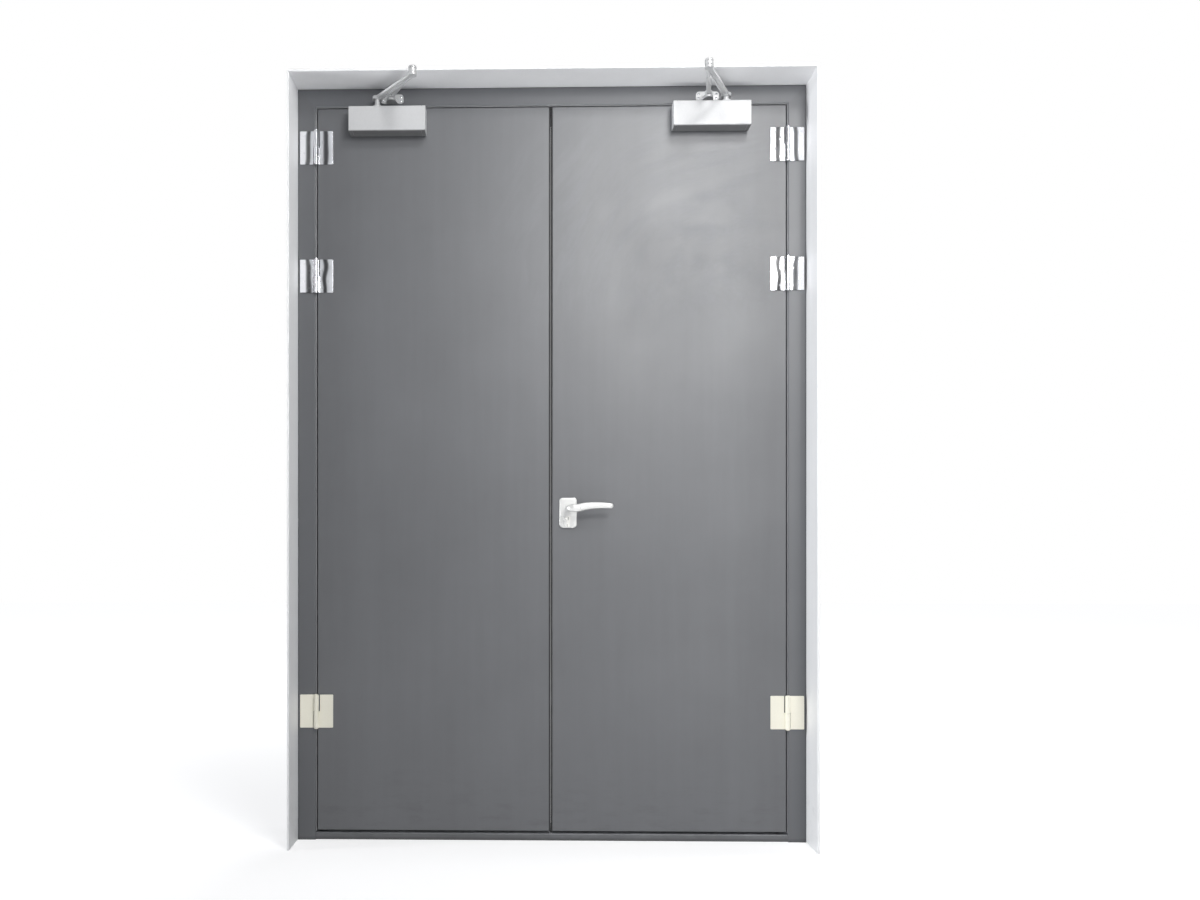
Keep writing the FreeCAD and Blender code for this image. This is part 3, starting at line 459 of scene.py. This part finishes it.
def rounded_rectangle(width, height, radii, inset=0.0, steps=7):
    """Points round a rectangle whose corners are quarter circles, drawn in by an inset: corner
    centre plus radius times (cosine, sine), the four corners one after another."""
    signs = np.array([[1, 1], [-1, 1], [-1, -1], [1, -1]])
    least_radius = 0.02 * mm
    radius = np.maximum(np.array(radii, float) - inset, least_radius)
    centres = signs * (np.array([width, height]) / 2 - inset - radius[:, None])
    angle = np.arange(4)[:, None] * np.pi / 2 + np.linspace(0, np.pi / 2, steps)
    turn = np.stack([np.cos(angle), np.sin(angle)], axis=-1)
    return (centres[:, None, :] + radius[:, None, None] * turn).reshape(-1, 2)


def slab(width, height, thickness, radii, edge, foot, wide, high, out, crown=0.0):
    """Plate with rounded corners and a rounded front rim: rings step inward by edge times one
    minus cosine while they rise by edge times sine, then a shallow crown rises as one minus the
    square of the distance from the middle, or without a crown one more ring keeps the face flat.
    wide, high and out are the plate's own directions."""
    bend = np.linspace(0, np.pi / 2, 5)
    inset = np.concatenate([[0], edge * (1 - np.cos(bend))])
    level = np.concatenate([[0], thickness - edge - crown + edge * np.sin(bend)])
    half = min(width, height) / 2
    if crown:
        share = np.linspace(0, 0.96, 7)[1:]
        inset = np.concatenate([inset, edge + (half - edge) * share])
        level = np.concatenate([level, thickness - crown * (1 - share) ** 2])
    else:
        flat_ring = edge + 0.5 * mm
        inset = np.append(inset, flat_ring)
        level = np.append(level, thickness)
    flat = np.stack([rounded_rectangle(width, height, radii, step) for step in inset])
    raised = np.broadcast_to(level[:, None, None], (*flat.shape[:2], 1))
    points = np.concatenate([flat, raised], axis=-1)
    return ringed(np.array(foot) + points @ np.array([wide, high, out], float))


def piece(name, parts, finish, body, crease=35):
    """One object from closed skins laid in one mesh, smooth but for edges sharper than crease, which takes
    its finish and rides on a body."""
    points, faces, start = [], [], 0
    for corners, quads, fans in parts:
        points.append(corners)
        faces += (quads + start).tolist() + (fans + start).tolist()
        start += len(corners)
    mesh = bpy.data.meshes.new(name)
    mesh.from_pydata(np.concatenate(points).tolist(), [], faces)
    mesh.polygons.foreach_set("use_smooth", np.ones(len(mesh.polygons), bool))
    mesh.set_sharp_from_angle(angle=math.radians(crease))
    mesh.materials.append(finish)
    made = bpy.data.objects.new(name, mesh)
    bpy.context.scene.collection.objects.link(made)
    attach(made, body)
    return made


# Chrome carries painted dark reflection bands across its wings.
chrome = metal("chrome", (0.84, 0.845, 0.875), 0.15, streak=0.03, scratch=0.01, swage=0.0008)
cream = painted("matt_cream", (0.85, 0.825, 0.71), 0.4, mottle=0.03, peel=0.12)
barrel = 7.5 * mm
pin_from_middle = 707.5 * mm
pin_y = -62.5 * mm
wing_sheet = 3 * mm
wing_corner = 2.5 * mm
wing_start = 10 * mm
wing_end = 50 * mm
neck_start = 4.5 * mm
rim = 0.6 * mm
knuckle_play = 0.3 * mm
door_face = -55 * mm
to_right, upward, to_viewer, to_back = (1, 0, 0), (0, 0, 1), (0, -1, 0), (0, 1, 0)
sides = (("right", 1), ("left", -1))
hinge_looks = {"top": (chrome, "polished_hinge"), "middle": (chrome, "polished_hinge"),
               "bottom": (cream, "cream_hinge")}


def hinge_half(side, low, high, knuckle_low, knuckle_high, way):
    """One wing and its knuckle. way is +1 from the pin to the right and -1 to the left."""
    pin_x = side * pin_from_middle
    middle = (low + high) / 2
    skins = [turned([(barrel - rim, knuckle_low), (barrel, knuckle_low + rim),
                     (barrel, knuckle_high - rim), (barrel - rim, knuckle_high)], (pin_x, pin_y, 0))]
    corners = [wing_corner, 0, 0, wing_corner] if way > 0 else [0, wing_corner, wing_corner, 0]
    wing_foot = (pin_x + way * (wing_start + wing_end) / 2, door_face, middle)
    skins.append(slab(wing_end - wing_start, high - low, wing_sheet, corners, rim, wing_foot,
                      to_right, upward, to_viewer))
    neck_foot = (pin_x + way * (wing_start + rim + neck_start) / 2, door_face,
                 (knuckle_low + knuckle_high) / 2)
    skins.append(slab(wing_start + rim - neck_start, knuckle_high - knuckle_low, wing_sheet, [0] * 4,
                      rim, neck_foot, to_right, upward, to_viewer))
    return skins


def pin_heads(side, low, high):
    """Domed heads of the pin above and below its two knuckles."""
    radius, rise, bevel = 5.6 * mm, 2.2 * mm, 1.4 * mm
    turn = np.linspace(0, np.pi / 2, 5)
    dome = np.stack([radius - bevel + bevel * np.cos(turn), rise - bevel + bevel * np.sin(turn)],
                    axis=-1)
    foot = (side * pin_from_middle, pin_y)
    return [turned([(radius, 0), *dome], (*foot, high)),
            turned([(radius, 0), *dome], (*foot, low - knuckle_play), (0, 0, -1))]


for side_name, side in sides:
    for place, (finish, slot) in hinge_looks.items():
        leaf_node = f"{side_name}_hinge_{place}_leaf_wing"
        frame_node = f"{side_name}_hinge_{place}_frame_wing"
        low, high = (corner.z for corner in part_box(leaf_node))
        split = (low + high) / 2
        jamb_half = hinge_half(side, low, high, split + knuckle_play, high, side)
        jamb_half += pin_heads(side, low, high)
        leaf_half = hinge_half(side, low, high, low, split - knuckle_play, -side)
        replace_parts(piece(f"{side_name}_{place}_hinge_jamb_half", jamb_half, finish, "frame"),
                    frame_node)
        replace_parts(piece(f"{side_name}_{place}_hinge_leaf_half", leaf_half, finish,
                          f"{side_name}_leaf"), leaf_node)


# Screws: countersunk heads with a cross, driven flush. Four hold each hinge wing, and two each
# the faceplate, the strike and the two flush bolts in the meeting edges.
def screw_head(radius, place, out, turn, proud=0.35 * mm):
    """Shallow dome with a cross sunk into it. share is a point's distance from the middle as a
    share of the radius. The height is a cap, proud times one minus the square of the share, less a
    pocket inside 0.6 of the radius wherever the point lies near either arm of the cross."""
    out = np.array(out, float)
    helper = np.array([0.0, 0.0, 1.0]) if abs(out[2]) < 0.9 else np.array([1.0, 0.0, 0.0])
    u = np.cross(out, helper)
    v = np.cross(out, u)
    share = np.array([1.0, 1.0, 0.86, 0.62, 0.52, 0.40, 0.26, 0.10])
    angle = np.arange(32) * np.pi / 16
    across = share[:, None] * np.cos(angle)
    along = share[:, None] * np.sin(angle)
    cap = proud * (1 - share[:, None] ** 2) + 0 * angle
    half_arm, arm_end, pocket, sunk_rim = 0.14, 0.6, 0.28 * radius, 0.6 * mm
    arm = (np.minimum(abs(across), abs(along)) < half_arm) & (share[:, None] < arm_end)
    level = cap - pocket * arm
    level[0] = -sunk_rim
    c, s = math.cos(turn), math.sin(turn)
    x, y = radius * (across * c - along * s), radius * (across * s + along * c)
    return ringed(np.array(place) + x[..., None] * u + y[..., None] * v + level[..., None] * out)


screw_steel = metal("screw_steel", (0.70, 0.71, 0.73), 0.22)
turns = np.random.default_rng(7).uniform(0, math.pi, 400)
drawn = 0
wing_screws = ((20, 14), (38, 34), (20, 66), (38, 86))    # mm from the pin, mm above the wing's foot
for side_name, side in sides:
    for place, (finish, slot) in hinge_looks.items():
        low, high = (corner.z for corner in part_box(f"{side_name}_hinge_{place}_leaf_wing"))
        for way, body in ((side, "frame"), (-side, f"{side_name}_leaf")):
            heads = []
            for x, z in wing_screws:
                spot = (side * pin_from_middle + way * x * mm, door_face - wing_sheet, low + z * mm)
                heads.append(screw_head(4.0 * mm, spot, to_viewer, turns[drawn], 0.12 * mm))
                drawn += 1
            part = "jamb" if body == "frame" else "leaf"
            piece(f"{side_name}_{place}_hinge_{part}_screws", heads, finish, body)

meeting_edge, leaf_middle = 4.0 * mm, -30 * mm
lock_screws, bolt_screws = (881, 1094), (101, 259, 1981, 2139)    # mm above the floor
for name, body, side, heights in (("faceplate_screws", "right_leaf", 1, lock_screws),
                                  ("strike_screws", "left_leaf", -1, lock_screws),
                                  ("flush_bolt_screws", "left_leaf", -1, bolt_screws)):
    heads = []
    for height in heights:
        spot = (side * meeting_edge, leaf_middle, height * mm)
        heads.append(screw_head(3.6 * mm, spot, (-side, 0, 0), turns[drawn], 0.5 * mm))
        drawn += 1
    piece(name, heads, screw_steel, body)

# Smoke strips: flat casings of grey plastic glued into the rebate of both jambs and the head,
# just behind the face, where they half fill the gap round the closed leaves.
grey_plastic = painted("grey_plastic", (0.22, 0.225, 0.235), 0.6, mottle=0.03, peel=0.05)
strip, strip_width, strip_middle, leaf_gap = 2 * mm, 15 * mm, -45 * mm, 5 * mm
strip_corners, strip_rim = [0.5 * mm] * 4, 0.4 * mm
rebate_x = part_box("right_leaf_front")[1].x + leaf_gap
rebate_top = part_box("right_leaf_front")[1].z + leaf_gap
sill_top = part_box("sill")[1].z
strip_low, strip_high = sill_top + 1 * mm, rebate_top - strip - 0.3 * mm
for side_name, side in sides:
    strip_foot = (side * rebate_x, strip_middle, (strip_high + strip_low) / 2)
    casing = slab(strip_width, strip_high - strip_low, strip, strip_corners, strip_rim, strip_foot,
                  (0, side, 0), upward, (-side, 0, 0))
    piece(f"{side_name}_smoke_strip", [casing], grey_plastic, "frame")
casing = slab(2 * rebate_x - 1 * mm, strip_width, strip, strip_corners, strip_rim,
              (0, strip_middle, rebate_top), to_right, to_back, (0, 0, -1))
piece("head_smoke_strip", [casing], grey_plastic, "frame")

# Lip feet: the ends of the rubber lips on both meeting edges, left thick and long so that they
# close the slit between the leaves down to the sill.
half_slit, lip_back, pad_thickness = 0.25 * mm, -49 * mm, 5.3 * mm
for side_name, side in sides:
    pad_low, pad_high = sill_top + 0.3 * mm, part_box(f"{side_name}_meeting_seal")[0].z + 0.2 * mm
    pad_foot = (side * (half_slit + meeting_edge) / 2, lip_back, (pad_low + pad_high) / 2)
    pad = slab(meeting_edge - half_slit, pad_high - pad_low, pad_thickness, [0.3 * mm] * 4, 0.4 * mm,
               pad_foot, to_right, upward, to_viewer)
    piece(f"{side_name}_lip_foot", [pad], seal_rubber, f"{side_name}_leaf")

# Closers: a die-cast body on each leaf with silver paint, and bright steel arms to a shoe
# that is screwed to the head of the frame.
# The closers' silver paint is darker on faces that look down: painted shade under the bodies.
silver_paint = metal("silver_paint", (0.55, 0.555, 0.565), 0.5, streak=0.03, scratch=0.05,
                     metallic=0.1, shade_below=0.3, shine=0.25)
arm_steel = metal("arm_steel", (0.60, 0.605, 0.61), 0.42, streak=0.06, scratch=0.04, metallic=0.4)
coat(silver_paint, "right_closer_body", "left_closer_body")
coat(arm_steel, *[f"{side_name}_{part}" for side_name, side in sides
                  for part in ("main_arm", "forearm", "closer_shoe")])
shoe_sheet = 4 * mm
shoe_screws = ((-26.5, 8), (26.5, 8), (-26.5, 20), (26.5, 20))    # mm from the middle and the foot
cover_height, cover_below_top = 75 * mm, 5 * mm
valve_seat, valve_y = 2.6 * mm, -83 * mm
valve_steps = (-7.5, 7.5)    # mm from the middle of the cover
for side_name, side in sides:
    low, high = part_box(f"{side_name}_closer_shoe")
    centre = (low.x + high.x) / 2
    heads = []
    for x, z in shoe_screws:
        spot = (centre + x * mm, door_face - shoe_sheet, low.z + z * mm)
        heads.append(screw_head(3.4 * mm, spot, to_viewer, turns[drawn], 1.2 * mm))
        drawn += 1
    piece(f"{side_name}_shoe_screws", heads, screw_steel, "frame")
    low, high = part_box(f"{side_name}_closer_body")
    end_x = low.x if side > 0 else high.x
    middle = high.z - cover_below_top - cover_height / 2
    valves = [screw_head(3.7 * mm, (end_x + side * valve_seat, valve_y, middle + step * mm),
                         (-side, 0, 0), 0.0, 0.1 * mm) for step in valve_steps]
    piece(f"{side_name}_closer_valves", valves, screw_steel, f"{side_name}_leaf")


# Forearm rods: bright steel with a rolled thread between the elbow eye and the lock nut, so that
# the arm can be lengthened when the closer is set.
def rolled_thread(start, run, length, root, crest, pitch):
    """Skin over a screwed rod. At a distance and an angle round the run, the radius falls from
    crest to root and back as the distance in pitches, less the angle in turns, passes each whole
    number."""
    run = run / np.linalg.norm(run)
    sideways = np.cross((0, 0, 1), run)
    angle = np.arange(20) * 2 * np.pi / 20
    distance = np.arange(0, length, pitch / 6)
    turn = distance[:, None] / pitch - angle / (2 * np.pi)
    radius = root + (crest - root) * abs(2 * (turn % 1) - 1)
    ring = np.cos(angle)[:, None] * sideways + np.sin(angle)[:, None] * np.array([0, 0, 1])
    return ringed(start + distance[:, None, None] * run + radius[..., None] * ring)


eye_radius, foot_radius, rod_level, lock_nut, bare_rod = 12 * mm, 11 * mm, 5.5 * mm, 7 * mm, 14 * mm
rod_share = 0.44
for side_name, side in sides:
    low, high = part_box(f"{side_name}_forearm")
    near_end, far_end = (low.x, high.x) if side > 0 else (high.x, low.x)
    rod_z = low.z + rod_level
    elbow = np.array([near_end + side * eye_radius, low.y + eye_radius, rod_z])
    run = np.array([far_end - side * foot_radius, high.y - foot_radius, rod_z]) - elbow
    reach = np.linalg.norm(run)
    thread = rolled_thread(elbow + run / reach * bare_rod, run, rod_share * reach - lock_nut - bare_rod,
                           root=4.5 * mm, crest=5.1 * mm, pitch=1.75 * mm)
    piece(f"{side_name}_forearm_thread", [thread], arm_steel, f"{side_name}_forearm",
          crease=80)


# Levers: one cast bar on each face, satin silver, that turns out of its neck and runs
# slightly arched to a rounded tip. Both are fixed on the spindle and turn together.
def lever_skin(front):
    """Oval rings carried along neck, quarter turn and arched grip. The path's depth and run come
    from the turn's cosine and sine, its rise is a parabola eased in at the root, and the rings'
    height and thickness shrink in a quarter circle over the last few millimetres."""
    stand_off, bend, reach, tip = 49 * mm, 17 * mm, 132 * mm, 8 * mm
    neck, grip_height, grip_thickness = 9.1 * mm, 12 * mm, 6.5 * mm
    arch, arch_top = 8 * mm, 0.65
    turn = np.linspace(0, np.pi / 2, 12)
    closing = np.sin(np.linspace(0.08, 0.5, 9) * np.pi)
    run = np.concatenate([0.92 * np.linspace(0, 1, 30)[1:], 1 - 0.075 * (1 - closing)])
    grip = reach - bend
    rise = arch * (1 - ((run - arch_top) / arch_top) ** 2)
    ease = np.clip(run / 0.3, 0, 1)
    rise *= ease * ease * (3 - 2 * ease)
    along = np.concatenate([[0, 0], bend * (1 - np.cos(turn)), bend + grip * run])
    depth = np.concatenate([[0.5 * mm, (stand_off - bend) * 0.98],
                            stand_off - bend + bend * np.sin(turn), np.full(run.size, stand_off)])
    lift = np.concatenate([[0, 0], 0 * turn, rise])
    share = np.concatenate([[0, 0], 0 * turn, run])
    swell = np.concatenate([[0, 0], turn / (np.pi / 2), np.ones(run.size)])
    path = np.stack([along, -depth, lift], axis=-1)
    way = np.gradient(path, axis=0)
    way[:2] = (0, -1, 0)
    way /= np.linalg.norm(way, axis=1)[:, None]
    sideways = np.cross((0, 0, 1), way)
    sideways /= np.linalg.norm(sideways, axis=1)[:, None]
    up = np.cross(way, sideways)
    height = neck + (grip_height - neck) * swell - 4.5 * mm * share
    thick = neck + (grip_thickness - neck) * swell - 2 * mm * share
    left = np.clip((1 - share) * grip / tip, 0, 1)
    close = np.sqrt(np.clip(1 - (1 - left) ** 2, 0.0004, 1))
    angle = np.arange(36) * 2 * np.pi / 36
    power = 0.86
    wave_s = np.sign(np.sin(angle)) * abs(np.sin(angle)) ** power
    wave_c = np.sign(np.cos(angle)) * abs(np.cos(angle)) ** power
    rings = (path[:, None, :] + (height * close)[:, None, None] * wave_s[:, None] * up[:, None, :]
             + (thick * close)[:, None, None] * wave_c[:, None] * sideways[:, None, :])
    rings = np.array([hub_x, door_face, hub_z]) + rings
    if not front:
        rings[..., 1] = 2 * leaf_middle - rings[..., 1]
    return ringed(rings)


satin_silver = metal("satin_silver", (0.74, 0.74, 0.73), 0.32, streak=0.03, scratch=0.03,
                     metallic=0.3)
hub_x, hub_z, leaf_back, plate_rise = 52 * mm, 1.0, -5 * mm, 8 * mm
collar_profile = np.array([(9, -1), (11.6, -1), (11.6, 0.6), (11, 1.4), (9.3, 1.7), (9, 1.7)]) * mm
for node_name, front in (("front_lever", True), ("back_lever", False)):
    face_y, out = (door_face, to_viewer) if front else (leaf_back, to_back)
    collar = turned(collar_profile, (hub_x, face_y + out[1] * plate_rise, hub_z), out, 48)
    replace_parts(piece(f"{node_name}_bar", [lever_skin(front), collar], satin_silver,
                      "lever_set"), node_name)

# Handle plates: pressed silver plates with a low crown, rounder at the foot, one on each
# face of the right leaf, each held by four small screws.
plate_width, plate_above, plate_below, plate_edge = 52 * mm, 33 * mm, 58 * mm, 2.6 * mm
plate_corners = [9 * mm, 9 * mm, 12 * mm, 12 * mm]
screw_level = 7.3 * mm
plate_screws = ((-18, 24), (18, 24), (-18, -45), (18, -45))    # mm from the hub
for node_name, front in (("front_handle_plate", True), ("back_handle_plate", False)):
    face_y, out = (door_face, to_viewer) if front else (leaf_back, to_back)
    foot = (hub_x, face_y, hub_z + (plate_above - plate_below) / 2)
    shell = slab(plate_width, plate_above + plate_below, plate_rise, plate_corners, plate_edge, foot,
                 to_right, upward, out, crown=0.8 * mm)
    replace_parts(piece(f"{node_name}_shell", [shell], satin_silver, "right_leaf"), node_name)
    heads = []
    for x, z in plate_screws:
        spot = (hub_x + x * mm, face_y + out[1] * screw_level, hub_z + z * mm)
        heads.append(screw_head(2.8 * mm, spot, out, turns[drawn], 0.15 * mm))
        drawn += 1
    piece(f"{node_name}_screws", heads, screw_steel, "right_leaf")


# Key plugs: the turning part of the key cylinder, flush but for a bevelled rim, with an upright keyway
# whose floor is a dark sheet of painted shadow, once on each face of the right leaf.
def key_plug(foot, out):
    """Disc with a slot: rings go from a circle over its bevel to a rounded rectangle, which then
    sinks into the face. Both outlines have the same count of points, start on the right and run
    round the same way."""
    slot = rounded_rectangle(keyway_width, keyway_height, [0.5 * mm] * 4)
    angle = np.arange(len(slot)) * 2 * np.pi / len(slot) + 0.1
    circle = np.stack([np.cos(angle), np.sin(angle)], axis=-1)
    rim_circle = plug_radius * circle
    flat = np.stack([rim_circle, rim_circle, (plug_radius - 0.3 * mm) * circle, slot, slot])
    level = np.array([-0.3, 0.15, 0.4, 0.4, 0.1]) * mm
    raised = np.broadcast_to(level[:, None, None], (*flat.shape[:2], 1))
    points = np.concatenate([flat, raised], axis=-1)
    return ringed(np.array(foot) + points @ np.array([to_right, upward, out], float))


# The keyway's floor is a thin dark sheet: painted shadow for the depth of the hole.
keyway_shadow = metal("keyway_shadow", (0.05, 0.05, 0.05), 0.6)
plug_radius, plug_below_top, keyway_width, keyway_height = 6.6 * mm, 8.5 * mm, 1.8 * mm, 8.4 * mm
cylinder_low, cylinder_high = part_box("key_cylinder")
for face, face_y, out in (("front", cylinder_low.y, to_viewer), ("back", cylinder_high.y, to_back)):
    foot = (hub_x, face_y, cylinder_high.z - plug_below_top)
    piece(f"{face}_key_plug", [key_plug(foot, out)], satin_nickel, "right_leaf")
    floor = slab(keyway_width - 0.1 * mm, keyway_height - 0.1 * mm, 0.14 * mm, [0.4 * mm] * 4,
                 0.04 * mm, foot, to_right, upward, out)
    piece(f"{face}_keyway", [floor], keyway_shadow, "right_leaf")

low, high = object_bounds()
